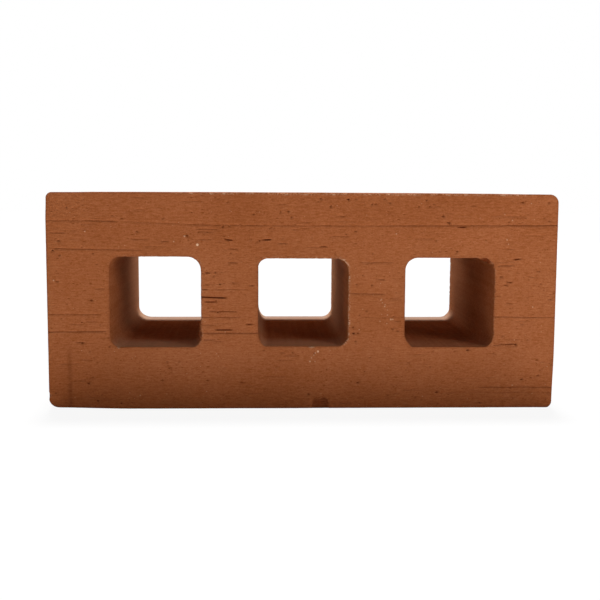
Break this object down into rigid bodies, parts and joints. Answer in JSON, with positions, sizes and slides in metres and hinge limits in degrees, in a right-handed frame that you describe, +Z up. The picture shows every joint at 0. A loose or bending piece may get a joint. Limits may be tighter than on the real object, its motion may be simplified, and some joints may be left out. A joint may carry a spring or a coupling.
{
  "type": "terracotta breeze block",
  "caption": "Extruded clay screen-wall block, a long rounded bar with a row of square holes right through it from cut face to cut face.",
  "frame": {"origin": "middle of the underside, the long side that the block lies on when it is laid in a wall", "axes": "+X along the length, +Y through the holes from the front cut face to the back one, +Z up"},
  "size_m": [0.23, 0.11, 0.098],
  "materials": {
    "terracotta": "matte"
  },
  "bodies": {
    "root": {"block": "terracotta"}
  },
  "joints": []
}
